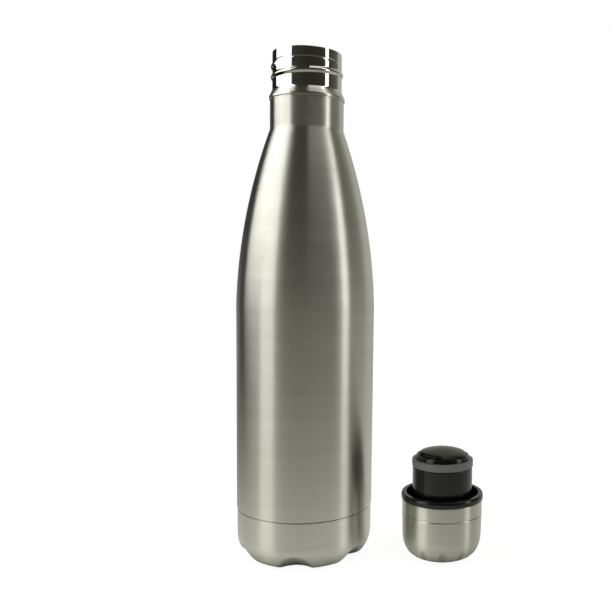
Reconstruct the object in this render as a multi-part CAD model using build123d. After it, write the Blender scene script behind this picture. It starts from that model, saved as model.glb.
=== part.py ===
"""Insulated stainless steel water bottle, open, with its cap upside down on the floor beside it.

Millimetres, +Z up. The bottle's axis is Z, and the floor under its feet is z = 0.
"""
from math import sqrt
import os

from build123d import *

# Bottle, outside
BODY_R_FOOT = 34.5        # outer wall where it meets the base cup
BODY_R_TOP = 35.0         # outer wall where the shoulder starts
SEAM_Z = 25.0             # top edge of the base cup
SHOULDER_Z = 128.0
SHOULDER_ARC_R = 292.2    # one long arc from the body to the neck
SHOULDER_ARC_AXIS_R = -257.08
SHOULDER_ARC_AXIS_Z = 119.55
NECK_R = 18.5             # brushed neck, under the bead
BEAD_Z = 231.5
BEAD_R = 19.05
BEAD_EDGE = 0.5           # upright edge of the bead
BEAD_FLARE = 4.6          # from the bead's lower edge to the polished neck
BEAD_HOLLOW = (17.9, 2.6) # radius, and height above the bead's lower edge, midway up the flare
MOUTH_Z = 255.0
MOUTH_R = 17.4            # polished neck, outside

# Walls
WALL = 0.5
LINER_WALL = 0.45
LINER_INSET = 2.2        # from the outside of the bottle to the outside of the inner flask
MOUTH_BORE_R = 16.9
NECK_BORE_R = NECK_R - LINER_INSET - LINER_WALL
BORE_STEP_Z = 233.0       # where the wide mouth narrows to the neck's bore
BORE_STEP = 1.4
WELD_GAP = 0.02           # between a pressed bottom's rim and the tube it is welded in

# Foot of the bottle
SPIGOT_R = 33.5           # outer wall inside the base cup
SPIGOT_Z = 13.5
OUTER_PLATE_Z = 15.5
PLATE_RIM = 2.5
INNER_FLOOR_Z = 20.5
FLOOR_RIM = 4.0           # height of the welded rim of each pressed bottom
HOLE_R = 1.0              # evacuation hole
DIMPLE_R = 3.4
DIMPLE_DEPTH = 1.4
PELLET_R = 2.4
GETTER_OFFSET = 14.0
GETTER_R = 4.5
GETTER_CUP_R = 5.0
GETTER_WALL = 0.3
GETTER_CUP_HEIGHT = 2.25
GETTER_WINDOW_R = 3.0
FOIL = 0.12
FOIL_GAP = 0.1
FOIL_TOP_Z = 127.0

# Base cup
CUP_R = 34.2
CUP_WALL = 0.6
CUP_CORNER_R = 12.0
FOOT_OUTER_R = 25.6       # flat ring that the bottle stands on
FOOT_INNER_R = 23.2
CUP_RECESS_R = 18.0
CUP_RECESS_Z = 2.6
FLUTES = 6
FLUTE_FIRST = 261.5       # degrees from +X: nearly at the front
FLUTE_TOOL_R = 22.0
FLUTE_LOW = (25.0, 1.3)   # radius and height of the bottom line of a flute
FLUTE_HIGH = (33.2, 8.4)

# Thread
PITCH = 5.3
NECK_RIDGE_R = 18.15
NECK_RIDGE_WIDTH = 2.5
NECK_THREAD_START = 81.0  # degrees from +X
NECK_THREAD_Z = 240.94
NECK_TURNS = 1.4
CAP_RIDGE_R = 17.75
CAP_RIDGE_WIDTH = 1.6
CAP_TURNS = 1.2

# Cap, as it stands: closed end down, stopper up
CAP_X = 70.0
CAP_Y = -15.5
CAP_R = 20.6
CAP_END_R = 20.35
CAP_END_FLAT_R = 10.0
CAP_END_Z = 13.4
CAP_WALL = 0.5
CAP_SHELL_Z = 29.7
CAP_GROOVE_Z = 22.75
CAP_GROOVE_R = 0.3
CAP_DIMPLES = 12
CAP_DIMPLE_FIRST = 261.6
CAP_DIMPLE_TOOL_R = 2.4
CAP_DIMPLE_LOW = (14.9, 1.2)
CAP_DIMPLE_HIGH = (19.8, 7.6)
FLANGE_R = 21.1
FLANGE_Z = 29.8
RIM_Z = 33.0              # the cap's open rim
SKIRT_BORE_R = 18.5
SKIRT_R = 19.5
WEB_Z = 9.9
WEB_TOP_Z = 11.6
STOPPER_R = 15.4
STOPPER_BORE_R = 13.8
STOPPER_TOP_Z = 46.45
SEAL_R = 15.75
SEAL_TOP_Z = 50.2
LEDGE_R = 13.3
LEDGE_Z = 52.3
DOME_R = 11.8
DOME_EDGE_Z = 53.45
DOME_TOP_Z = 55.7
END_FLOOR_Z = 51.6
FOAM_R = 12.2
FOAM_Z = 49.2
FOAM_TOP_Z = 51.4

# Screwing on: the rim stops this far above the floor the bottle stands on
SEATED_RIM_Z = 234.0
FLIP_AXIS_ANGLE = 77.51   # degrees from +X, square to the line from the bottle to the cap

os.makedirs("parts", exist_ok=True)


def turned(outline):
    """Solid of revolution about Z from a closed wire of (r, z) edges."""
    return revolve(Plane.XZ * make_face(outline), axis=Axis.Z)


def ring(r_in, r_out, z_low, z_high):
    """Plain ring, or a disc if r_in is 0."""
    height = z_high - z_low
    body = Pos(0, 0, z_low + height / 2) * Cylinder(r_out, height)
    if r_in:
        body -= Pos(0, 0, z_low + height / 2) * Cylinder(r_in, height + 1)
    return body


def shoulder_point(inset, r):
    """Point of the shoulder arc, inset from the outside, at radius r."""
    arc_r = SHOULDER_ARC_R - inset
    return (r, SHOULDER_ARC_AXIS_Z + sqrt(arc_r**2 - (r - SHOULDER_ARC_AXIS_R) ** 2))


def bottle_form(inset, z_low, z_high):
    """Solid of the bottle's outside, inset all over, from z_low up to z_high."""
    low = (BODY_R_FOOT - inset, z_low)
    belly = shoulder_point(inset, BODY_R_TOP - inset)
    middle = shoulder_point(inset, (BODY_R_TOP + NECK_R) / 2 - inset)
    neck = shoulder_point(inset, NECK_R - inset)
    top = (NECK_R - inset, z_high)
    outline = [
        Line((0, z_low), low),
        Line(low, belly),
        ThreePointArc(belly, middle, neck),
        Line(neck, top),
        Line(top, (0, z_high)),
        Line((0, z_high), (0, z_low)),
    ]
    return turned(outline)


def thread_ridge(pitch, turns, root_r, crest_r, width, start_angle, start_z):
    """Helical ridge with a rounded top, from root_r to crest_r; crest_r may be the smaller."""
    path = Helix(pitch=pitch, height=pitch * turns, radius=root_r)
    sunk = -0.2 if crest_r > root_r else 0.2
    side = width * 0.6
    section = Plane(origin=path @ 0, x_dir=(1, 0, 0), z_dir=path % 0) * make_face(
        [
            ThreePointArc((sunk, side), (crest_r - root_r, 0), (sunk, -side)),
            Line((sunk, -side), (sunk, side)),
        ]
    )
    ridge = sweep(section, path=path, is_frenet=True)
    return Pos(0, 0, start_z) * Rot(0, 0, start_angle) * ridge


def flute_tools(count, first, tool_r, low, high, wall):
    """Round bars laid up a corner, spaced round the axis; low and high are points of their top line.

    For the inside of a wall they are thicker by the wall, about the same centre lines.
    """
    slope = Vector(high[0] - low[0], 0, high[1] - low[1]).normalized()
    outward = Vector(slope.Z, 0, -slope.X)
    middle = Vector((low[0] + high[0]) / 2, 0, (low[1] + high[1]) / 2)
    bar = Plane(origin=middle + outward * tool_r, z_dir=slope) * Cylinder(tool_r + wall, 60)
    return [Rot(0, 0, first + i * 360 / count) * bar for i in range(count)]


def outer_shell():
    """Outer wall: body, shoulder and neck, stepped in at the foot for the base cup."""
    outside = bottle_form(0, SEAM_Z, BEAD_Z)
    outside += ring(0, SPIGOT_R, SPIGOT_Z, SEAM_Z)
    inside = bottle_form(WALL, SEAM_Z + 1.5, BEAD_Z)
    inside += ring(0, SPIGOT_R - WALL, SPIGOT_Z, SEAM_Z + 1.5)
    return outside - inside


def inner_liner():
    """Inner flask with the mouth: lip, rolled thread and bead."""
    rim_z = INNER_FLOOR_Z + FLOOR_RIM
    edge = LINER_INSET + LINER_WALL
    lip = (MOUTH_R - MOUTH_BORE_R) / 2

    def wall(inset):
        """Points of one face of the wall, from the rim up to the neck."""
        low = (BODY_R_FOOT - inset, rim_z)
        belly = shoulder_point(inset, BODY_R_TOP - inset)
        middle = shoulder_point(inset, (BODY_R_TOP + NECK_R) / 2 - inset)
        return low, belly, middle, shoulder_point(inset, NECK_R - inset)

    low, belly, middle, neck = wall(LINER_INSET)
    in_low, in_belly, in_middle, in_neck = wall(edge)
    corners = [
        neck,
        (NECK_R - LINER_INSET, BEAD_Z),
        (BEAD_R, BEAD_Z),
        (BEAD_R, BEAD_Z + BEAD_EDGE),
        (MOUTH_R, BEAD_Z + BEAD_FLARE),
        (MOUTH_R, MOUTH_Z - lip),
        (MOUTH_BORE_R, MOUTH_Z - lip),
        (MOUTH_BORE_R, BORE_STEP_Z + BORE_STEP),
        (NECK_BORE_R, BORE_STEP_Z),
        in_neck,
    ]
    outline = [
        Line(low, belly),
        ThreePointArc(belly, middle, neck),
        Line(corners[0], corners[1]),
        Line(corners[1], corners[2]),
        Line(corners[2], corners[3]),
        ThreePointArc(corners[3], (BEAD_HOLLOW[0], BEAD_Z + BEAD_HOLLOW[1]), corners[4]),
        Line(corners[4], corners[5]),
        ThreePointArc(corners[5], (MOUTH_R - lip, MOUTH_Z), corners[6]),
        Line(corners[6], corners[7]),
        Line(corners[7], corners[8]),
        Line(corners[8], corners[9]),
        ThreePointArc(in_neck, in_middle, in_belly),
        Line(in_belly, in_low),
        Line(in_low, low),
    ]
    ridge = thread_ridge(
        PITCH, NECK_TURNS, MOUTH_R, NECK_RIDGE_R, NECK_RIDGE_WIDTH, NECK_THREAD_START, NECK_THREAD_Z
    )
    return turned(outline) + ridge


def pressed_bottom(r_out, wall, plate_z, rim_height, rim_up):
    """Disc with a rim turned up or down to be welded inside a tube."""
    if rim_up:
        body = ring(0, r_out, plate_z, plate_z + rim_height)
        body = fillet(body.edges().group_by(Axis.Z)[0], 3)
        hollow = ring(0, r_out - wall, plate_z + wall, plate_z + rim_height)
        hollow = fillet(hollow.edges().group_by(Axis.Z)[0], 3 - wall)
    else:
        body = ring(0, r_out, plate_z + wall - rim_height, plate_z + wall)
        body = fillet(body.edges().group_by(Axis.Z)[-1], 1.5)
        hollow = ring(0, r_out - wall, plate_z + wall - rim_height, plate_z)
        hollow = fillet(hollow.edges().group_by(Axis.Z)[-1], 1.5 - wall)
    return body - hollow


def inner_bottom():
    """Floor of the inner flask, with its rim welded inside the flask's tube."""
    r_out = BODY_R_FOOT - LINER_INSET - LINER_WALL - WELD_GAP
    return pressed_bottom(r_out, LINER_WALL, INNER_FLOOR_Z, FLOOR_RIM + 2, True)


def outer_bottom():
    """End plate of the outer wall, with the evacuation hole in a dimple."""
    plate = pressed_bottom(SPIGOT_R - WALL - 2 * WELD_GAP, WALL, OUTER_PLATE_Z, PLATE_RIM, False)
    top = OUTER_PLATE_Z + WALL
    boss = ring(0, DIMPLE_R, OUTER_PLATE_Z, top + DIMPLE_DEPTH)
    dimple = ring(0, DIMPLE_R - WALL, OUTER_PLATE_Z, OUTER_PLATE_Z + DIMPLE_DEPTH)
    return plate + boss - dimple - ring(0, HOLE_R, OUTER_PLATE_Z, top + 2 * DIMPLE_DEPTH)


def base_cup():
    """Cup pushed over the foot: round corner, flat foot ring, six flutes and a recessed middle."""

    def form(inset):
        corner = (CUP_R - inset, CUP_CORNER_R)
        foot_out = (FOOT_OUTER_R, inset)
        foot_in = (FOOT_INNER_R, inset)
        recess = (CUP_RECESS_R, CUP_RECESS_Z + inset)
        bulge = CUP_CORNER_R * (1 - sqrt(0.5))
        middle = (CUP_R - inset - bulge * 0.72, bulge + inset)
        top = SEAM_Z if inset == 0 else SEAM_Z + 1
        body = turned(
            [
                Line((0, top), (CUP_R - inset, top)),
                Line((CUP_R - inset, top), corner),
                ThreePointArc(corner, middle, foot_out),
                Line(foot_out, foot_in),
                Line(foot_in, recess),
                Line(recess, (0, CUP_RECESS_Z + inset)),
                Line((0, CUP_RECESS_Z + inset), (0, top)),
            ]
        )
        for tool in flute_tools(FLUTES, FLUTE_FIRST, FLUTE_TOOL_R, FLUTE_LOW, FLUTE_HIGH, inset):
            body -= tool
        return body

    return form(0) - form(CUP_WALL)


def reflective_foil():
    """Foil wrapped round the straight of the inner flask."""
    low = INNER_FLOOR_Z + FLOOR_RIM + 1
    taper = (BODY_R_TOP - BODY_R_FOOT) / (SHOULDER_Z - SEAM_Z)
    low_r = BODY_R_FOOT - LINER_INSET + FOIL_GAP
    high_r = low_r + taper * (FOIL_TOP_Z - SEAM_Z)
    return turned(
        [
            Line((low_r, low), (low_r + FOIL, low)),
            Line((low_r + FOIL, low), (high_r + FOIL, FOIL_TOP_Z)),
            Line((high_r + FOIL, FOIL_TOP_Z), (high_r, FOIL_TOP_Z)),
            Line((high_r, FOIL_TOP_Z), (low_r, low)),
        ]
    )


def getter_holder():
    """Small cup, open in the middle below, that holds the getter under the inner bottom."""
    top = INNER_FLOOR_Z - 0.05
    low = top - GETTER_CUP_HEIGHT
    cup = ring(GETTER_CUP_R - GETTER_WALL, GETTER_CUP_R, low, top)
    cup += ring(GETTER_WINDOW_R, GETTER_CUP_R, low, low + GETTER_WALL)
    return Pos(GETTER_OFFSET, 0, 0) * cup


def getter_pill():
    """Getter tablet."""
    low = INNER_FLOOR_Z - GETTER_CUP_HEIGHT + GETTER_WALL
    return Pos(GETTER_OFFSET, 0, 0) * ring(0, GETTER_R, low, INNER_FLOOR_Z - 0.2)


def seal_pellet():
    """Solder pellet under the evacuation hole."""
    top = OUTER_PLATE_Z + DIMPLE_DEPTH - WELD_GAP
    return ring(0, PELLET_R, top - 0.9, top)


def cap_shell():
    """Steel cover: near-straight side, round closed end with dimples, one rolled groove."""

    def form(inset):
        side = (CAP_END_R - inset, CAP_END_Z)
        corner = (CAP_END_R - inset, inset)
        end = (CAP_END_FLAT_R, inset)
        top = CAP_SHELL_Z if inset == 0 else CAP_SHELL_Z + 1
        body = turned(
            [
                Line((0, top), (CAP_R - inset, top)),
                Line((CAP_R - inset, top), side),
                Bezier(side, corner, end),
                Line(end, (0, inset)),
                Line((0, inset), (0, top)),
            ]
        )
        tools = flute_tools(
            CAP_DIMPLES, CAP_DIMPLE_FIRST, CAP_DIMPLE_TOOL_R, CAP_DIMPLE_LOW, CAP_DIMPLE_HIGH, inset
        )
        for tool in tools:
            body -= tool
        return body

    shell = form(0) - form(CAP_WALL)
    return shell - Pos(0, 0, CAP_GROOVE_Z) * Torus(CAP_R + 0.05, CAP_GROOVE_R)


def cap_thread_z():
    """Height of the cap's ridge at angle 0, so that it lies between the neck's turns once seated."""
    seated_top = SEATED_RIM_Z + RIM_Z
    neck_at_zero = NECK_THREAD_Z + PITCH * (2 * FLIP_AXIS_ANGLE - NECK_THREAD_START) / 360
    return seated_top - neck_at_zero - PITCH / 2


def cap_insert():
    """Moulded insert: flange, skirt with the internal thread, and the web."""
    body = ring(SKIRT_BORE_R, SKIRT_R, WEB_Z, RIM_Z)
    body += ring(SKIRT_BORE_R, FLANGE_R, FLANGE_Z, RIM_Z)
    rim = body.edges().filter_by(GeomType.CIRCLE).group_by(SortBy.RADIUS)[-1]
    body = fillet(rim, 0.5)
    body += ring(STOPPER_R + 0.03, SKIRT_R, WEB_Z, WEB_TOP_Z)
    last_z = RIM_Z - CAP_RIDGE_WIDTH / 2 - 1.0
    start_z = cap_thread_z()
    while start_z + PITCH * CAP_TURNS > last_z:
        start_z -= PITCH
    while start_z + PITCH * (CAP_TURNS + 1) < last_z:
        start_z += PITCH
    ridge = thread_ridge(PITCH, CAP_TURNS, SKIRT_BORE_R, CAP_RIDGE_R, CAP_RIDGE_WIDTH, 0, start_z)
    return body + ridge


def stopper_tube():
    """Hollow stopper, welded through the web."""
    body = ring(STOPPER_BORE_R, STOPPER_R, WEB_Z, STOPPER_TOP_Z)
    rims = body.edges().group_by(Axis.Z)[-1].filter_by(GeomType.CIRCLE).sort_by(SortBy.RADIUS)
    return fillet(rims[-1], 0.4)


def stopper_end():
    """End of the stopper: spigot for the seal, ledge, and shallow domed disc."""
    body = turned(
        [
            Line((0, END_FLOOR_Z), (STOPPER_BORE_R - 0.9, END_FLOOR_Z)),
            Line((STOPPER_BORE_R - 0.9, END_FLOOR_Z), (STOPPER_BORE_R - 0.9, STOPPER_TOP_Z - 4)),
            Line((STOPPER_BORE_R - 0.9, STOPPER_TOP_Z - 4), (STOPPER_BORE_R - 0.05, STOPPER_TOP_Z - 4)),
            Line((STOPPER_BORE_R - 0.05, STOPPER_TOP_Z - 4), (STOPPER_BORE_R - 0.05, SEAL_TOP_Z + 0.05)),
            Line((STOPPER_BORE_R - 0.05, SEAL_TOP_Z + 0.05), (LEDGE_R + 0.9, SEAL_TOP_Z + 0.05)),
            Line((LEDGE_R + 0.9, SEAL_TOP_Z + 0.05), (LEDGE_R, LEDGE_Z)),
            Line((LEDGE_R, LEDGE_Z), (DOME_R, LEDGE_Z)),
            Line((DOME_R, LEDGE_Z), (DOME_R, DOME_EDGE_Z)),
            TangentArc((0, DOME_TOP_Z), (DOME_R, DOME_EDGE_Z), tangent=(1, 0)),
            Line((0, DOME_TOP_Z), (0, END_FLOOR_Z)),
        ]
    )
    return body


def stopper_seal():
    """Silicone ring that seals on the bore of the neck."""
    body = ring(STOPPER_BORE_R, SEAL_R, STOPPER_TOP_Z + 0.05, SEAL_TOP_Z)
    rims = body.edges().filter_by(GeomType.CIRCLE).sort_by(SortBy.RADIUS)
    return fillet(rims[-2:], 0.4)


def plug_foam():
    """Insulating foam disc behind the end of the stopper."""
    return ring(0, FOAM_R, FOAM_Z, FOAM_TOP_Z)


bottle_parts = {
    "outer_shell": outer_shell,
    "inner_liner": inner_liner,
    "inner_bottom": inner_bottom,
    "outer_bottom": outer_bottom,
    "seal_pellet": seal_pellet,
    "getter_holder": getter_holder,
    "getter_pill": getter_pill,
    "reflective_foil": reflective_foil,
    "base_cup": base_cup,
}
cap_parts = {
    "cap_shell": cap_shell,
    "cap_insert": cap_insert,
    "stopper_tube": stopper_tube,
    "stopper_end": stopper_end,
    "stopper_seal": stopper_seal,
    "plug_foam": plug_foam,
}

for name, make in bottle_parts.items():
    export_step(make(), f"parts/{name}.step")

for name, make in cap_parts.items():
    export_step(Pos(CAP_X, CAP_Y, 0) * make(), f"parts/{name}.step")

flask = bottle_form(LINER_INSET + LINER_WALL, INNER_FLOOR_Z + LINER_WALL, MOUTH_Z)
print(f"capacity to the brim: about {flask.volume / 1000:.0f} ml")
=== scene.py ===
from math import atan2, cos, degrees, hypot, pi, radians, sin, sqrt, tan

import bmesh
import bpy
from mathutils import Matrix, Vector


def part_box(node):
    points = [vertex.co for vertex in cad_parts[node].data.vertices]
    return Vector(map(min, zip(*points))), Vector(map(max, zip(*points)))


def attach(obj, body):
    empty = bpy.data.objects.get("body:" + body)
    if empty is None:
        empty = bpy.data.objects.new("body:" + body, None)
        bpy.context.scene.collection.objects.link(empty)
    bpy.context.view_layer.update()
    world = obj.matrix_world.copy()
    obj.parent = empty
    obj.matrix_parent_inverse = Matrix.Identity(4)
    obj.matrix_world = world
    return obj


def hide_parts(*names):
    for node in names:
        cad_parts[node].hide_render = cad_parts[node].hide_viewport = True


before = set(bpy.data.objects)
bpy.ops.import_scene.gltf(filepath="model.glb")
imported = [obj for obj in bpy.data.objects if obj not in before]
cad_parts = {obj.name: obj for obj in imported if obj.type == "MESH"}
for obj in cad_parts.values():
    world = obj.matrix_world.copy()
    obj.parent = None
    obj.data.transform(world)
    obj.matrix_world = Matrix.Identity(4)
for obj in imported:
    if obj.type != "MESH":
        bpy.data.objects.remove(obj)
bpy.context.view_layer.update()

MM = 0.001

# ---------------------------------------------------------------- sizes, in millimetres

BODY_R_FOOT = 34.5
BODY_R_TOP = 35.0
SHOULDER_Z = 128.0
SHOULDER_ARC_R = 292.2
SHOULDER_ARC_AXIS = (-257.08, 119.55)
NECK_R = 18.5
WALL = 0.5
LINER_INSET = 2.2
LINER_WALL = 0.45
LINER_FOOT_Z = 24.5
SPIGOT_R = 33.5
SPIGOT_Z = 13.5
SEAM_Z = 25.15

BEAD_R = 19.03
MOUTH_R = 17.4
MOUTH_BORE_R = 16.9
NECK_BORE_R = 15.85
BORE_STEP_Z = 233.0
LIP_LINE = 5.1             # rolled line below the lip

CUP_R = 34.2
CUP_WALL = 0.6
CUP_TOP_Z = 24.75
CUP_CORNER_Z = 12.0
FOOT_OUTER_R = 25.6
FOOT_INNER_R = 23.2
CUP_RECESS = (18.0, 2.6)
FLUTES = 6
FLUTE_FIRST = 261.5
FLUTE_BAR_R = 15.0         # a flute is the print of a round bar laid up the corner
FLUTE_LINE = ((24.6, 1.5), (31.5, 6.6))
FLUTE_SOFTNESS = 0.3       # how far the edge of a flute is eased

PITCH = 5.3
NECK_RIDGE = 0.73
NECK_RIDGE_HALF = 1.55
NECK_THREAD = (81.0, 240.94, 1.4)     # start angle, start height, turns
CAP_RIDGE = 0.73
CAP_RIDGE_HALF = 1.0
CAP_TURNS = 1.2
FLIP_AXIS_ANGLE = 77.51
SEATED_RIM_Z = 234.0

CAP_R = 20.6
CAP_SIDE_R = 20.35
CAP_CORNER_Z = 13.4
CAP_END_R = 10.0
CAP_WALL = 0.5
CAP_SHELL_Z = 29.7
CAP_GROOVE_Z = 22.75
CAP_DIMPLES = 12
CAP_DIMPLE_FIRST = 261.6
CAP_DIMPLE_BAR_R = 2.4
CAP_DIMPLE_LINE = ((14.9, 1.2), (19.8, 7.6))
CAP_DIMPLE_SOFTNESS = 0.08
FLANGE_R = 21.1
FLANGE_Z = 29.8
RIM_Z = 33.0
SKIRT_BORE_R = 18.5
SKIRT_R = 19.5
WEB = (9.9, 11.6)
STOPPER_R = 15.4
STOPPER_BORE_R = 13.8
STOPPER_TOP_Z = 46.45
SEAL_R = 15.73
SEAL_TOP_Z = 50.2
LEDGE_R = 13.3
LEDGE_Z = 52.3
DOME_R = 11.8
DOME_EDGE_Z = 53.45
DOME_TOP_Z = 55.65
END_FLOOR_Z = 51.6

MOUTH_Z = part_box("inner_liner")[1][2] / MM
BEAD_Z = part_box("outer_shell")[1][2] / MM + 0.05
CAP_CENTRE = [(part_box("cap_shell")[0][i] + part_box("cap_shell")[1][i]) / 2 for i in (0, 1)]

AROUND = 288               # steps round a large piece
AROUND_SMALL = 160


# ---------------------------------------------------------------- shaping helpers

def smooth(x):
    """Rises from 0 at 0 to 1 at 1 with level ends."""
    x = min(1.0, max(0.0, x))
    return x * x * (3 - 2 * x)


def rounded(corners, spacing=2.0, segments=6):
    """Points of an outline from (r, z) or (r, z, corner radius), with the long runs divided."""
    points = []
    for i, corner in enumerate(corners):
        here = Vector(corner[:2])
        radius = corner[2] if len(corner) > 2 else 0
        if not radius:
            points.append(here)
            continue
        before = Vector(corners[i - 1][:2]) - here
        after = Vector(corners[(i + 1) % len(corners)][:2]) - here
        half = before.angle(after) / 2
        reach = radius / tan(half)
        start = here + before.normalized() * reach
        finish = here + after.normalized() * reach
        middle = here + (before.normalized() + after.normalized()).normalized() * (radius / sin(half))
        turn = (start - middle).angle_signed(finish - middle)
        for k in range(segments + 1):
            spoke = (start - middle).copy()
            spoke.rotate(Matrix.Rotation(-turn * k / segments, 2))
            points.append(middle + spoke)
    divided = []
    for i, here in enumerate(points):
        divided.append(here)
        if i + 1 < len(points):
            run = points[i + 1] - here
            count = int(run.length / spacing)
            edge = min(0.12, run.length / 4)
            if count:
                inner = [edge / run.length] + [k / (count + 1) for k in range(1, count + 1)]
                inner.append(1 - edge / run.length)
                divided += [here + run * f for f in sorted(inner)]
    return divided


def shoulder(inset, r_from, r_to, steps=56):
    """Points of the long shoulder arc, inset from the outside of the bottle."""
    arc_r = SHOULDER_ARC_R - inset
    axis_r, axis_z = SHOULDER_ARC_AXIS
    points = []
    for k in range(steps + 1):
        r = r_from - inset + (r_to - r_from) * smooth_ends(k / steps)
        points.append(Vector((r, axis_z + sqrt(arc_r**2 - (r - axis_r) ** 2))))
    return points


def smooth_ends(t):
    """Even steps of height on the arc, which starts almost upright."""
    return 1 - cos(t * pi / 2) if t < 1 else 1.0


def spun(name, outline, around, centre=(0.0, 0.0), loop=True, shape=None, lining=(9999, 0.0)):
    """Turns an outline of (r, z) points in mm about an upright axis; shape moves the points afterwards.

    lining is the first point of the wall's inner face and the wall's thickness, which shape is told.
    """
    bm = bmesh.new()
    inner = bm.verts.layers.float.new("lining")
    verts = [bm.verts.new((p[0] * MM, 0, p[1] * MM)) for p in outline]
    for v in verts[lining[0]:]:
        v[inner] = lining[1]
    edges = [bm.edges.new(pair) for pair in zip(verts, verts[1:])]
    if loop:
        edges.append(bm.edges.new((verts[-1], verts[0])))
    bmesh.ops.spin(bm, geom=verts + edges, cent=(0, 0, 0), axis=(0, 0, 1), dvec=(0, 0, 0), angle=pi / 4,
                   steps=around // 8, use_merge=False, use_normal_flip=False, use_duplicate=False)
    for turn in (pi / 4, pi / 2, pi):
        copy = bmesh.ops.duplicate(bm, geom=bm.verts[:] + bm.edges[:] + bm.faces[:])["geom"]
        moved = [part for part in copy if isinstance(part, bmesh.types.BMVert)]
        bmesh.ops.rotate(bm, verts=moved, cent=(0, 0, 0), matrix=Matrix.Rotation(turn, 3, "Z"))
    bmesh.ops.remove_doubles(bm, verts=bm.verts, dist=1e-6)
    bmesh.ops.recalc_face_normals(bm, faces=bm.faces)
    if shape:
        for v in bm.verts:
            shape(v.co, v[inner])
    bm.verts.layers.float.remove(inner)
    bmesh.ops.translate(bm, verts=bm.verts, vec=(centre[0], centre[1], 0))
    mesh = bpy.data.meshes.new(name)
    bm.to_mesh(mesh)
    bm.free()
    mesh.shade_smooth()
    mesh.set_sharp_from_angle(angle=radians(35))
    piece = bpy.data.objects.new(name, mesh)
    bpy.context.scene.collection.objects.link(piece)
    return piece


def thread_height(co, start_angle, start_z, turns, half_width, fade=42.0):
    """0 to 1: how far a point at co, in metres, is up a rounded helical ridge that fades at both ends."""
    angle = (degrees(atan2(co.y, co.x)) - start_angle) % 360
    z = co.z / MM
    height = 0.0
    while angle <= turns * 360:
        off = abs(z - start_z - PITCH * angle / 360) / half_width
        ends = smooth(min(angle, turns * 360 - angle) / fade)
        if off < 1:
            height = max(height, ends * (1 - off * off) ** 1.5)
        angle += 360
    return height


def push_out(co, distance):
    """Moves a point away from the Z axis by a distance in mm."""
    r = hypot(co.x, co.y)
    if r:
        co.x *= 1 + distance * MM / r
        co.y *= 1 + distance * MM / r


def flute(co, lining, count, first, bar_r, line, softness):
    """Prints a round bar into a corner at count places; lining is how far co is inside the outer face."""
    step = radians(360 / count)
    turned = atan2(co.y, co.x) - radians(first)
    turned -= step * round(turned / step)
    r = hypot(co.x, co.y) / MM
    across = r * sin(turned)
    if abs(across) > 0.9 * bar_r:
        return
    low, high = (Vector(point) for point in line)
    slope = (high - low).normalized()
    outward = Vector((slope.y, -slope.x))
    out = (Vector((r * cos(turned), co.z / MM)) - low).dot(outward) + lining
    excess = out - bar_r + sqrt(bar_r**2 - across**2)
    press = (excess + sqrt(excess**2 + softness**2)) / 2
    press *= smooth((excess + 4 * softness) / (4 * softness))
    angle = atan2(co.y, co.x) - turned
    co.x -= outward.x * press * MM * cos(angle)
    co.y -= outward.x * press * MM * sin(angle)
    co.z -= outward.y * press * MM


# ---------------------------------------------------------------- bottle

def make_outer_wall():
    """Spun and brushed outer wall, tucked in at the foot for the base cup."""
    outside = rounded([
        (SPIGOT_R, SPIGOT_Z), (SPIGOT_R, SEAM_Z), (BODY_R_FOOT, SEAM_Z, 0.3), (BODY_R_TOP, SHOULDER_Z),
    ], 8.0)
    outside += shoulder(0, BODY_R_TOP, NECK_R)[1:]
    neck_top = rounded([
        (NECK_R, outside[-1].y), (NECK_R, BEAD_Z - 0.05), (NECK_R - WALL, BEAD_Z - 0.05),
    ], 4.0)[1:]
    inside = shoulder(WALL, NECK_R, BODY_R_TOP, 24)
    inside.append(Vector((BODY_R_FOOT - WALL, SEAM_Z + 1.5)))
    inside += [Vector((SPIGOT_R - WALL, SEAM_Z + 1.4)), Vector((SPIGOT_R - WALL, SPIGOT_Z))]
    wall = spun("brushed_outer_wall", outside + neck_top + inside, AROUND)
    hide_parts("outer_shell")
    return wall


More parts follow.
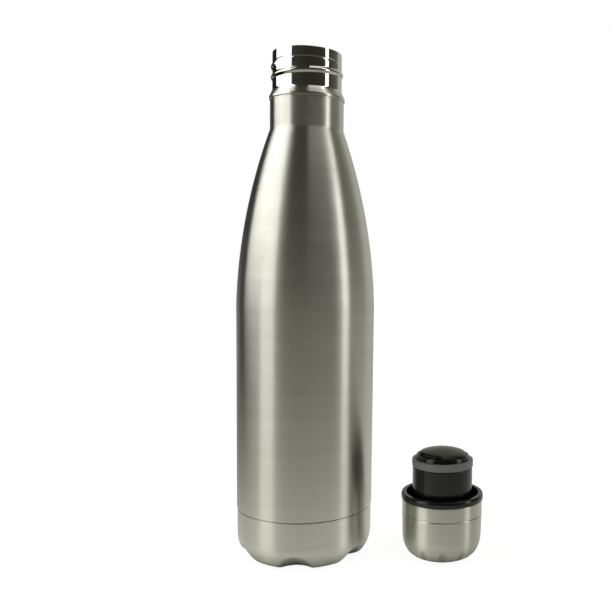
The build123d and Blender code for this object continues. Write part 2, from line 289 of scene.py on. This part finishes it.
def make_inner_flask():
    """Inner flask, drawn in one with the polished mouth: bead, rolled thread, lip."""
    outer = [Vector((BODY_R_FOOT - LINER_INSET, LINER_FOOT_Z))]
    outer += shoulder(LINER_INSET, BODY_R_TOP, NECK_R, 24)
    line_z = MOUTH_Z - LIP_LINE
    collar = rounded([
        (NECK_R - LINER_INSET, outer[-1].y), (NECK_R - LINER_INSET, BEAD_Z), (BEAD_R, BEAD_Z, 0.16),
        (BEAD_R, BEAD_Z + 1.2, 1.0), (MOUTH_R, BEAD_Z + 4.7, 2.2), (MOUTH_R, BEAD_Z + 6.4),
    ], 0.8)[1:]
    neck = [Vector((MOUTH_R, BEAD_Z + 6.4 + 0.25 * k)) for k in range(1, int((line_z - BEAD_Z - 7) / 0.25))]
    lip = rounded([
        (MOUTH_R, line_z - 0.5), (MOUTH_R - 0.16, line_z, 0.3), (MOUTH_R - 0.02, line_z + 0.5, 0.4),
        (MOUTH_R - 0.05, MOUTH_Z, 0.22), (MOUTH_BORE_R, MOUTH_Z, 0.2), (MOUTH_BORE_R, line_z),
    ], 0.8)
    bore_low = BORE_STEP_Z + 1.4
    bore = [Vector((MOUTH_BORE_R, line_z - 0.25 * k)) for k in range(1, int((line_z - bore_low) / 0.25))]
    step = rounded([
        (MOUTH_BORE_R, bore_low, 0.6), (NECK_BORE_R, BORE_STEP_Z, 0.6), (NECK_BORE_R, 220.0),
    ], 3.0)
    deep = shoulder(LINER_INSET + LINER_WALL, NECK_R, BODY_R_TOP, 40)
    deep.append(Vector((BODY_R_FOOT - LINER_INSET - LINER_WALL, LINER_FOOT_Z)))

    def roll_thread(co, lining):
        if co.z > (BORE_STEP_Z + 3) * MM:
            angle, z, turns = NECK_THREAD
            push_out(co, NECK_RIDGE * thread_height(co, angle, z, turns, NECK_RIDGE_HALF))

    flask = spun("inner_flask_with_mouth", outer + collar + neck + lip + bore + step + deep, AROUND,
                 shape=roll_thread)
    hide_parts("inner_liner")
    return flask


def make_base_cup():
    """Deep-drawn cup with six pressed flutes that leave six feet."""
    def side(inset, steps):
        points = []
        for k in range(steps + 1):
            a = pi / 2 * k / steps
            reach_in = (CUP_R - FOOT_OUTER_R) * (1 - cos(a))
            points.append(Vector((CUP_R - inset - reach_in, CUP_CORNER_Z - (CUP_CORNER_Z - inset) * sin(a))))
        return points

    outside = rounded([(CUP_R - CUP_WALL, CUP_TOP_Z), (CUP_R, CUP_TOP_Z, 0.22), (CUP_R, CUP_CORNER_Z)], 1.0)
    outside += side(0, 44)[1:]
    floor = rounded([(FOOT_OUTER_R, 0.0), (FOOT_INNER_R, 0.0, 1.5), (CUP_RECESS[0], CUP_RECESS[1], 2.5),
                     (0.0, CUP_RECESS[1])], 1.0)[1:]
    inner_floor = rounded([(0.0, CUP_RECESS[1] + CUP_WALL), (CUP_RECESS[0], CUP_RECESS[1] + CUP_WALL, 1.5),
                           (FOOT_INNER_R, CUP_WALL, 1.5), (FOOT_OUTER_R - CUP_WALL, CUP_WALL)], 1.0)
    inside = side(CUP_WALL, 30)[::-1]
    inside[0] = inner_floor.pop()

    def press(co, lining):
        if co.z < CUP_CORNER_Z * MM and hypot(co.x, co.y) > CUP_RECESS[0] * MM:
            flute(co, lining, FLUTES, FLUTE_FIRST, FLUTE_BAR_R, FLUTE_LINE, FLUTE_SOFTNESS)

    cup = spun("fluted_base_cup", outside + floor + inner_floor + inside, AROUND, loop=False, shape=press,
               lining=(len(outside) + len(floor), CUP_WALL))
    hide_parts("base_cup")
    return cup


# ---------------------------------------------------------------- cap

def make_cap_cover():
    """Deep-drawn brushed cover with a rolled line and twelve small dimples round the closed end."""
    def corner(inset, steps):
        a = Vector((CAP_SIDE_R - inset, CAP_CORNER_Z))
        b = Vector((CAP_SIDE_R - inset, inset))
        c = Vector((CAP_END_R, inset))
        shares = [k / steps for k in range(steps + 1)]
        return [a * (1 - t) ** 2 + b * 2 * t * (1 - t) + c * t * t for t in shares]

    outside = rounded([
        (CAP_R - CAP_WALL, CAP_SHELL_Z), (CAP_R, CAP_SHELL_Z, 0.2), (CAP_R - 0.02, CAP_GROOVE_Z + 0.5, 0.3),
        (CAP_R - 0.32, CAP_GROOVE_Z, 0.15), (CAP_R - 0.02, CAP_GROOVE_Z - 0.5, 0.3),
        (CAP_SIDE_R, CAP_CORNER_Z),
    ], 1.0)
    outside += corner(0, 40)[1:] + [Vector((CAP_END_R * (1 - k / 8), 0.0)) for k in range(1, 9)]
    inside = [Vector((0.0, CAP_WALL))] + corner(CAP_WALL, 24)[::-1]
    inside.append(Vector((CAP_R - CAP_WALL, CAP_SHELL_Z)))

    def press(co, lining):
        if co.z < CAP_CORNER_Z * MM:
            flute(co, lining, CAP_DIMPLES, CAP_DIMPLE_FIRST, CAP_DIMPLE_BAR_R, CAP_DIMPLE_LINE,
                  CAP_DIMPLE_SOFTNESS)

    cover = spun("brushed_cap_cover", outside + inside[:-1], AROUND, CAP_CENTRE, shape=press,
                 lining=(len(outside), CAP_WALL))
    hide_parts("cap_shell")
    return cover


def cap_thread_start():
    """Height of the cap's ridge at angle 0: between the neck's turns once the cap is on."""
    angle, z, turns = NECK_THREAD
    start = SEATED_RIM_Z + RIM_Z - z - PITCH * (2 * FLIP_AXIS_ANGLE - angle) / 360 - PITCH / 2
    last = RIM_Z - 1.8
    while start + PITCH * CAP_TURNS > last:
        start -= PITCH
    return start


def make_cap_insert():
    """Moulded black insert: rim, threaded skirt, web."""
    start = cap_thread_start()
    rim = rounded([
        (SKIRT_R, WEB[0]), (SKIRT_R, FLANGE_Z), (FLANGE_R, FLANGE_Z, 0.35), (FLANGE_R, RIM_Z - 1.2, 0.5),
        (FLANGE_R - 0.4, RIM_Z, 0.6), (SKIRT_BORE_R, RIM_Z, 0.35), (SKIRT_BORE_R, RIM_Z - 1.0),
    ], 0.8)
    bore = [Vector((SKIRT_BORE_R, RIM_Z - 1.0 - 0.25 * k)) for k in range(1, 48)]
    web = rounded([(SKIRT_BORE_R, WEB[1] + 4, 0), (SKIRT_BORE_R, WEB[1], 0.5), (STOPPER_R + 0.03, WEB[1]),
                   (STOPPER_R + 0.03, WEB[0])], 1.0)

    def mould_thread(co, lining):
        if hypot(co.x, co.y) < (SKIRT_BORE_R + 0.1) * MM and co.z > (WEB[1] + 2) * MM:
            push_out(co, -CAP_RIDGE * thread_height(co, 0, start, CAP_TURNS, CAP_RIDGE_HALF))

    insert = spun("moulded_cap_insert", rim + bore + web, AROUND_SMALL, CAP_CENTRE, shape=mould_thread)
    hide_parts("cap_insert")
    return insert


def make_stopper_tube():
    """Hollow moulded stopper."""
    tube = spun("stopper_barrel", rounded([
        (STOPPER_R, WEB[0]), (STOPPER_R, STOPPER_TOP_Z, 0.35), (STOPPER_BORE_R, STOPPER_TOP_Z),
        (STOPPER_BORE_R, WEB[0]),
    ], 1.5), AROUND_SMALL, CAP_CENTRE)
    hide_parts("stopper_tube")
    return tube


def make_stopper_end():
    """Moulded end that traps the seal: stepped ledge and a shallow domed disc."""
    spigot = STOPPER_BORE_R - 0.05
    profile = rounded([
        (spigot - 0.85, END_FLOOR_Z), (spigot - 0.85, STOPPER_TOP_Z - 4), (spigot, STOPPER_TOP_Z - 4),
        (spigot, SEAL_TOP_Z + 0.05), (LEDGE_R + 0.85, SEAL_TOP_Z + 0.05, 0.12),
        (LEDGE_R + 0.45, SEAL_TOP_Z + 0.75, 0.3), (LEDGE_R + 0.3, LEDGE_Z - 0.5, 0.3),
        (LEDGE_R, LEDGE_Z, 0.2), (DOME_R + 0.5, LEDGE_Z, 0.1), (DOME_R + 0.2, LEDGE_Z - 0.4, 0.1),
        (DOME_R - 0.02, LEDGE_Z - 0.35, 0.05), (DOME_R, DOME_EDGE_Z - 0.05, 0.25),
    ], 0.8)
    ball_r = (DOME_R**2 + (DOME_TOP_Z - DOME_EDGE_Z) ** 2) / (2 * (DOME_TOP_Z - DOME_EDGE_Z))
    dome = []
    for k in range(1, 25):
        r = (DOME_R - 0.25) * (1 - k / 24)
        dome.append(Vector((r, DOME_TOP_Z - ball_r + sqrt(ball_r**2 - r * r))))
    inner = [Vector((0.0, END_FLOOR_Z)), Vector((6.0, END_FLOOR_Z))]
    end = spun("stopper_end_cap", profile + dome + inner, AROUND_SMALL, CAP_CENTRE)
    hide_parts("stopper_end")
    return end


def make_seal():
    """Flat-faced silicone ring."""
    seal = spun("silicone_seal_ring", rounded([
        (STOPPER_BORE_R, STOPPER_TOP_Z + 0.05), (SEAL_R - 0.05, STOPPER_TOP_Z + 0.05, 0.4),
        (SEAL_R, (STOPPER_TOP_Z + SEAL_TOP_Z) / 2, 3.0), (SEAL_R - 0.05, SEAL_TOP_Z, 0.45),
        (STOPPER_BORE_R, SEAL_TOP_Z),
    ], 0.8), AROUND_SMALL, CAP_CENTRE)
    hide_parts("stopper_seal")
    return seal


# ---------------------------------------------------------------- materials

def linear(hex_colour):
    """sRGB hex to a linear colour."""
    values = [int(hex_colour[i:i + 2], 16) / 255 for i in (1, 3, 5)]
    return [v / 12.92 if v <= 0.04045 else ((v + 0.055) / 1.055) ** 2.4 for v in values] + [1.0]


def node(tree, kind, links=None, **settings):
    """Adds a node; settings are its properties or its sockets' values; links feed its sockets."""
    made = tree.nodes.new(kind)
    for key, value in settings.items():
        if key in made.inputs.keys():
            made.inputs[key].default_value = value
        elif key.startswith("input_"):
            made.inputs[int(key[6:])].default_value = value
        else:
            setattr(made, key, value)
    for socket, source in (links or {}).items():
        tree.links.new(source, made.inputs[socket])
    return made


def new_material(name):
    """Material with an empty tree, and its output."""
    material = bpy.data.materials.new(name)
    material.use_nodes = True
    tree = material.node_tree
    tree.nodes.clear()
    return material, tree, tree.nodes.new("ShaderNodeOutputMaterial")


def grain(tree, scale, detail=3.0):
    """Noise on Object coordinates; scale is cycles per metre along X, Y and Z."""
    place = node(tree, "ShaderNodeTexCoord")
    stretch = node(tree, "ShaderNodeMapping", {"Vector": place.outputs["Object"]}, Scale=scale)
    return node(tree, "ShaderNodeTexNoise", {"Vector": stretch.outputs["Vector"]},
                Scale=1.0, Detail=detail, Roughness=0.6).outputs["Fac"]


def remap(tree, value, low, high, source=(0.3, 0.7)):
    """Noise value spread from low to high."""
    made = node(tree, "ShaderNodeMapRange", {"Value": value})
    for name, v in zip(("From Min", "From Max", "To Min", "To Max"), (*source, low, high)):
        made.inputs[name].default_value = v
    return made.outputs["Result"]


def grey_ramp(tree, value, stops):
    """Colour ramp over a value from 0 to 1, from a table of position and hex colour."""
    made = node(tree, "ShaderNodeValToRGB", {"Fac": value})
    ramp = made.color_ramp
    while len(ramp.elements) < len(stops):
        ramp.elements.new(0.5)
    for stop, (position, colour) in zip(ramp.elements, sorted(stops.items())):
        stop.position = position
        stop.color = linear(colour)
    return made.outputs["Color"]


def brushed_stainless():
    """Stainless 304, brushed while it turned: fine lines round the piece that smear light up and down."""
    material, tree, out = new_material("stainless_304_brushed")
    # a 180 grit belt leaves lines about 0.1 mm apart; drawn 0.5 mm apart so that they show
    lines = grain(tree, (95, 95, 2000), 4.0)
    # faint bands where the belt pressed harder
    bands = grain(tree, (16, 16, 220), 2.0)
    smudge = grain(tree, (60, 60, 60), 4.0)
    both = node(tree, "ShaderNodeMath", {0: lines, 1: bands}, operation="ADD").outputs[0]
    tint = node(tree, "ShaderNodeValToRGB", {"Fac": remap(tree, both, 0.0, 1.0, (0.7, 1.3))})
    tint.color_ramp.elements[0].color = linear("#CDCDC2")
    tint.color_ramp.elements[1].color = linear("#D8D8CE")
    lined = remap(tree, lines, 0.345, 0.375)
    handled = remap(tree, smudge, -0.01, 0.015)
    wear = node(tree, "ShaderNodeMath", {0: lined, 1: handled}, operation="ADD").outputs[0]
    bump = node(tree, "ShaderNodeBump", {"Height": lines}, Strength=0.10, Distance=0.00002)
    around = node(tree, "ShaderNodeTangent", direction_type="RADIAL", axis="Z")
    steel = node(tree, "ShaderNodeBsdfPrincipled",
                 {"Base Color": tint.outputs["Color"], "Roughness": wear, "Normal": bump.outputs["Normal"],
                  "Tangent": around.outputs["Tangent"]},
                 Metallic=1.0, Anisotropic=0.95)
    steel.inputs["Anisotropic Rotation"].default_value = 0.25
    tree.links.new(steel.outputs[0], out.inputs["Surface"])
    return material


def polished_stainless():
    """Stainless 304, buffed: nearly a mirror, with hairline polishing marks round the neck."""
    material, tree, out = new_material("stainless_304_polished")
    marks = grain(tree, (60, 60, 1500), 3.0)
    haze = grain(tree, (90, 90, 90), 2.0)
    marked = remap(tree, marks, 0.05, 0.09)
    hazed = remap(tree, haze, -0.01, 0.03)
    buffed = node(tree, "ShaderNodeMath", {0: marked, 1: hazed}, operation="ADD").outputs[0]
    # the buffing wheel doesn't reach into the hollow over the bead, which keeps its brushed lines
    place = node(tree, "ShaderNodeTexCoord").outputs["Object"]
    height = node(tree, "ShaderNodeSeparateXYZ", {"Vector": place})
    hollow = remap(tree, height.outputs["Z"], 0.24, 0.0, ((BEAD_Z + 2.6) * MM, (BEAD_Z + 5.0) * MM))
    wear = node(tree, "ShaderNodeMath", {0: buffed, 1: hollow}, operation="ADD").outputs[0]
    bump = node(tree, "ShaderNodeBump", {"Height": marks}, Strength=0.05, Distance=0.00003)
    around = node(tree, "ShaderNodeTangent", direction_type="RADIAL", axis="Z")
    steel = node(tree, "ShaderNodeBsdfPrincipled",
                 {"Roughness": wear, "Normal": bump.outputs["Normal"], "Tangent": around.outputs["Tangent"]},
                 Metallic=1.0, Anisotropic=0.8)
    steel.inputs["Anisotropic Rotation"].default_value = 0.25
    steel.inputs["Base Color"].default_value = linear("#D2D2C8")
    tree.links.new(steel.outputs[0], out.inputs["Surface"])
    return material


def drawn_steel():
    """Stainless 304, as deep drawn and washed: satin, faintly mottled."""
    material, tree, out = new_material("stainless_304_as_drawn")
    mottle = grain(tree, (220, 220, 220), 4.0)
    tint = node(tree, "ShaderNodeValToRGB", {"Fac": mottle})
    tint.color_ramp.elements[0].color = linear("#A9AAA4")
    tint.color_ramp.elements[1].color = linear("#C8C9C4")
    steel = node(tree, "ShaderNodeBsdfPrincipled",
                 {"Base Color": tint.outputs["Color"], "Roughness": remap(tree, mottle, 0.3, 0.42)},
                 Metallic=1.0)
    tree.links.new(steel.outputs[0], out.inputs["Surface"])
    return material


def black_polypropylene():
    """Polypropylene, injection moulded in a polished tool: glossy black with faint flow ripple and dust."""
    material, tree, out = new_material("polypropylene_black_moulded")
    ripple = grain(tree, (130, 130, 240), 2.0)
    fine = grain(tree, (2600, 2600, 2600), 2.0)
    tint = node(tree, "ShaderNodeValToRGB", {"Fac": ripple})
    tint.color_ramp.elements[0].color = linear("#0E0E0D")
    tint.color_ramp.elements[1].color = linear("#191917")
    bump = node(tree, "ShaderNodeBump", {"Height": ripple}, Strength=0.10, Distance=0.0002)
    fine_bump = node(tree, "ShaderNodeBump", {"Height": fine, "Normal": bump.outputs["Normal"]},
                     Strength=0.06, Distance=0.00004)
    plastic = node(tree, "ShaderNodeBsdfPrincipled",
                   {"Base Color": tint.outputs["Color"], "Roughness": remap(tree, fine, 0.16, 0.24),
                    "Normal": fine_bump.outputs["Normal"]}, IOR=1.49)
    tree.links.new(plastic.outputs[0], out.inputs["Surface"])
    return material


def grey_silicone():
    """Silicone rubber, compression moulded: satin grey, slightly soft to light, with a dusty skin."""
    material, tree, out = new_material("silicone_grey_moulded")
    dust = grain(tree, (900, 900, 900), 4.0)
    tint = node(tree, "ShaderNodeValToRGB", {"Fac": dust})
    tint.color_ramp.elements[0].color = linear("#7B7D7A")
    tint.color_ramp.elements[1].color = linear("#8E908C")
    bump = node(tree, "ShaderNodeBump", {"Height": dust}, Strength=0.15, Distance=0.00008)
    rubber = node(tree, "ShaderNodeBsdfPrincipled",
                  {"Base Color": tint.outputs["Color"], "Roughness": remap(tree, dust, 0.38, 0.5),
                   "Normal": bump.outputs["Normal"]}, IOR=1.41)
    tree.links.new(rubber.outputs[0], out.inputs["Surface"])
    return material


def plain_metal(name, dark, light, roughness, scale):
    """Small inner metal part: mottled colour and roughness at the given scale."""
    material, tree, out = new_material(name)
    mottle = grain(tree, (scale, scale, scale), 4.0)
    tint = node(tree, "ShaderNodeValToRGB", {"Fac": mottle})
    tint.color_ramp.elements[0].color = linear(dark)
    tint.color_ramp.elements[1].color = linear(light)
    worn = remap(tree, mottle, roughness, roughness + 0.1)
    metal = node(tree, "ShaderNodeBsdfPrincipled",
                 {"Base Color": tint.outputs["Color"], "Roughness": worn}, Metallic=1.0)
    tree.links.new(metal.outputs[0], out.inputs["Surface"])
    return material


def white_foam():
    """Expanded polyethylene foam, die cut: matt white with fine closed cells."""
    material, tree, out = new_material("polyethylene_foam_cut")
    place = node(tree, "ShaderNodeTexCoord")
    # cells about 0.5 mm across
    cells = node(tree, "ShaderNodeTexVoronoi", {"Vector": place.outputs["Object"]}, Scale=2000.0)
    tint = node(tree, "ShaderNodeValToRGB", {"Fac": cells.outputs["Distance"]})
    tint.color_ramp.elements[0].color = linear("#F2F1EC")
    tint.color_ramp.elements[1].color = linear("#D9D8D2")
    bump = node(tree, "ShaderNodeBump", {"Height": cells.outputs["Distance"]}, Strength=0.4, Distance=0.0002)
    foam = node(tree, "ShaderNodeBsdfPrincipled",
                {"Base Color": tint.outputs["Color"], "Normal": bump.outputs["Normal"]}, Roughness=0.9)
    tree.links.new(foam.outputs[0], out.inputs["Surface"])
    return material


def dress(piece, material):
    """Gives a piece its one material."""
    piece.data.materials.clear()
    piece.data.materials.append(material)


# ---------------------------------------------------------------- the object

brushed = brushed_stainless()
polished = polished_stainless()
drawn = drawn_steel()
black = black_polypropylene()
silicone = grey_silicone()

for make, body, slot, material in (
    (make_outer_wall, "bottle", "brushed_steel", brushed),
    (make_inner_flask, "bottle", "polished_steel", polished),
    (make_base_cup, "bottle", "brushed_steel", brushed),
    (make_cap_cover, "cap", "brushed_steel", brushed),
    (make_cap_insert, "cap", "black_plastic", black),
    (make_stopper_tube, "cap", "black_plastic", black),
    (make_stopper_end, "cap", "black_plastic", black),
    (make_seal, "cap_guide", "silicone", silicone),
):
    made_piece = make()
    dress(made_piece, material)
    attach(made_piece, body)

for name, material in {
    "inner_bottom": drawn,
    "outer_bottom": drawn,
    "getter_holder": drawn,
    # sintered zirconium alloy: dark and grainy
    "getter_pill": plain_metal("getter_alloy_sintered", "#3A3A3C", "#565658", 0.6, 1500),
    # tin solder, melted into the hole: soft sheen
    "seal_pellet": plain_metal("tin_solder_melted", "#9C9D9B", "#BDBEBB", 0.32, 700),
    # copper foil, rolled and wrapped: bright with light creases
    "reflective_foil": plain_metal("copper_foil_rolled", "#C9835C", "#E3A27C", 0.16, 120),
    "plug_foam": white_foam(),
}.items():
    dress(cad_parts[name], material)


# ---------------------------------------------------------------- floor, light and camera

def make_floor():
    """Wide plain white paper that runs into the white backdrop; for reflections it glows with painted light,
    brightest on the key side.
    """
    bm = bmesh.new()
    bmesh.ops.create_grid(bm, x_segments=1, y_segments=1, size=4.0)
    mesh = bpy.data.meshes.new("studio_floor")
    bm.to_mesh(mesh)
    bm.free()
    floor = bpy.data.objects.new("studio_floor", mesh)
    bpy.context.scene.collection.objects.link(floor)
    material, tree, out = new_material("studio_paper_white")
    place = node(tree, "ShaderNodeTexCoord").outputs["Object"]
    axes = node(tree, "ShaderNodeSeparateXYZ", {"Vector": place})
    reach = node(tree, "ShaderNodeVectorMath", {0: place}, operation="LENGTH").outputs["Value"]
    # painted light: the floor's glow is brightest round the object, darker further out where the panels end
    painted_light_pool = grey_ramp(tree, remap(tree, reach, 0.0, 1.0, (0.0, 0.5)), {
        0.06: "#E6E5E0", 0.13: "#DCDBD5", 0.2: "#C2C1BA", 0.3: "#A9A8A0", 0.5: "#8E8D85", 0.66: "#605F58",
        0.8: "#2A2926",
    })
    # painted light: the glow is brighter on the key side, to the left
    side = remap(tree, axes.outputs["X"], 1.15, 1.0, (-0.15, 0.0))
    lit = node(tree, "ShaderNodeVectorMath", {0: painted_light_pool}, operation="SCALE")
    tree.links.new(side, lit.inputs["Scale"])
    # painted light: the right rear corner glows as if it caught the backdrop's light
    back = node(tree, "ShaderNodeMath", {0: axes.outputs["X"], 1: axes.outputs["Y"]}, operation="ADD")
    painted_corner_glow = remap(tree, back.outputs[0], 0.0, 0.36, (0.1, 0.4))
    glow = node(tree, "ShaderNodeVectorMath", {0: lit.outputs[0], 1: painted_corner_glow}, operation="ADD").outputs[0]
    # painted shadow: ambient occlusion darkens the floor's glow next to the object, as contact shade seen in
    # reflections
    painted_contact_shade = node(tree, "ShaderNodeAmbientOcclusion", samples=6)
    painted_contact_shade.inputs["Distance"].default_value = 0.02
    shaded = node(tree, "ShaderNodeVectorMath", {0: glow}, operation="SCALE")
    tree.links.new(remap(tree, painted_contact_shade.outputs["AO"], 0.0, 1.0, (0.25, 1.0)), shaded.inputs["Scale"])
    seen = node(tree, "ShaderNodeLightPath").outputs["Is Camera Ray"]
    shown = remap(tree, reach, 0.92, 1.0, (0.1, 0.4))
    colour = node(tree, "ShaderNodeMix", data_type="RGBA")
    tree.links.new(seen, colour.inputs[0])
    tree.links.new(shaded.outputs[0], colour.inputs[6])
    tree.links.new(shown, colour.inputs[7])
    light = node(tree, "ShaderNodeEmission", {"Color": colour.outputs[2]}, Strength=1.0)
    paper = node(tree, "ShaderNodeBsdfDiffuse")
    paper.inputs["Color"].default_value = linear("#8C8C8A")
    both = node(tree, "ShaderNodeAddShader", {0: light.outputs[0], 1: paper.outputs[0]})
    tree.links.new(both.outputs[0], out.inputs["Surface"])
    dress(floor, material)


def softbox(name, azimuth, distance, low, high, width, power):
    """Upright soft light. Azimuth 0 is the front (-Y), 90 is the right (+X); sizes in metres."""
    light = bpy.data.lights.new(name, "AREA")
    light.shape = "RECTANGLE"
    light.size = width
    light.size_y = high - low
    light.energy = power
    lamp = bpy.data.objects.new(name, light)
    bpy.context.scene.collection.objects.link(lamp)
    a = radians(azimuth)
    place = Vector((distance * sin(a), -distance * cos(a), (low + high) / 2))
    aim = Vector((0, 0, place.z)) - place
    lamp.matrix_world = Matrix.Translation(place) @ aim.to_track_quat("-Z", "Y").to_matrix().to_4x4()
    lamp.visible_camera = False
    return lamp


def flag(name, azimuth, distance, low, high, width):
    """A black card that shades the bottle from one side, unseen by the camera."""
    angle = radians(azimuth)
    middle = Vector((sin(angle), -cos(angle), 0)) * distance
    along = Vector((cos(angle), sin(angle), 0)) * width / 2
    corners = [middle + side * along + Vector((0, 0, z))
               for side, z in ((-1, low), (1, low), (1, high), (-1, high))]
    mesh = bpy.data.meshes.new(name)
    mesh.from_pydata(corners, [], [(0, 1, 2, 3)])
    mesh.materials.append(black_card())
    card = bpy.data.objects.new(name, mesh)
    bpy.context.scene.collection.objects.link(card)
    card.visible_camera = False


def black_card():
    """Black card: matt, with no shine."""
    material, tree, output = new_material("black_card")
    card = node(tree, "ShaderNodeBsdfDiffuse", Color=linear("#0A0A0A"))
    tree.links.new(card.outputs[0], output.inputs["Surface"])
    return material


def make_light():
    """White panels on the left, narrow strip on the right, overhead fill; a dark room in front."""
    softbox("key_left", -69.5, 1.2, 0.0, 2.2, 0.74, 8.8)
    softbox("key_left_back", -103, 1.2, 0.30, 2.2, 0.74, 11.0)
    softbox("strip_right", 68.0, 1.2, 0.0, 2.0, 0.26, 3.7)
    overhead = softbox("overhead_right", 45, 0.6, 0.9, 1.6, 0.8, 1.6)
    overhead.matrix_world = Matrix.Translation((0.45, -0.35, 1.3))

    # keeps the left panels off the lower body, which is darker on that side
    flag("flag_left", -101, 0.30, 0.02, 0.18, 0.29)

    world = bpy.data.worlds.new("studio")
    bpy.context.scene.world = world
    world.use_nodes = True
    tree = world.node_tree
    tree.nodes.clear()
    direction = node(tree, "ShaderNodeTexCoord").outputs["Generated"]
    split = node(tree, "ShaderNodeSeparateXYZ", {"Vector": direction})
    front = node(tree, "ShaderNodeMath", {0: split.outputs["Y"]}, operation="MULTIPLY", input_1=-1.0)
    azimuth = node(tree, "ShaderNodeMath", {0: split.outputs["X"], 1: front.outputs[0]},
                   operation="ARCTAN2")
    turn = remap(tree, azimuth.outputs[0], 0.0, 1.0, (-pi, pi))
    # the room's grey by direction, in degrees: 0 is the front, 90 the right
    greys = {
        -180: "#B8B7AE", -171: "#8A8982", -162: "#2A2926", -120: "#242320", -95: "#3A3935", -45: "#403F38",
        0: "#31302B", 45: "#36352F", 90: "#504F48", 115: "#6A6962", 128: "#C6C5BC", 165: "#BDBCB3",
    }
    room = grey_ramp(tree, turn, {(degree + 180) / 360: grey for degree, grey in greys.items()})
    dim = node(tree, "ShaderNodeBackground", {"Color": room}, Strength=1.0)
    white = node(tree, "ShaderNodeBackground", Strength=1.0)
    white.inputs["Color"].default_value = (1, 1, 1, 1)
    seen = node(tree, "ShaderNodeLightPath").outputs["Is Camera Ray"]
    mix = node(tree, "ShaderNodeMixShader", {0: seen, 1: dim.outputs[0], 2: white.outputs[0]})
    node(tree, "ShaderNodeOutputWorld", {"Surface": mix.outputs[0]})


def make_camera():
    """Camera a little to the left of centre, slightly above the middle of the bottle."""
    place = Vector((0.0011, -0.3947, 0.1497))
    yaw, pitch, roll = radians(-9.17), radians(3.07), radians(0.81)
    level_right = Vector((cos(yaw), sin(yaw), 0))
    level_ahead = Vector((-sin(yaw), cos(yaw), 0))
    ahead = cos(pitch) * level_ahead - sin(pitch) * Vector((0, 0, 1))
    level_up = sin(pitch) * level_ahead + cos(pitch) * Vector((0, 0, 1))
    right = cos(roll) * level_right + sin(roll) * level_up
    up = cos(roll) * level_up - sin(roll) * level_right
    turn = Matrix((right, up, -ahead)).transposed()
    data = bpy.data.cameras.new("camera")
    data.sensor_width = 36.0
    data.lens = 44.6
    data.shift_x = -0.205
    data.clip_start = 0.01
    camera = bpy.data.objects.new("camera", data)
    camera.matrix_world = Matrix.Translation(place) @ turn.to_4x4()
    bpy.context.scene.collection.objects.link(camera)
    bpy.context.scene.camera = camera


make_floor()
make_light()
make_camera()
bpy.context.scene.view_settings.view_transform = "Standard"
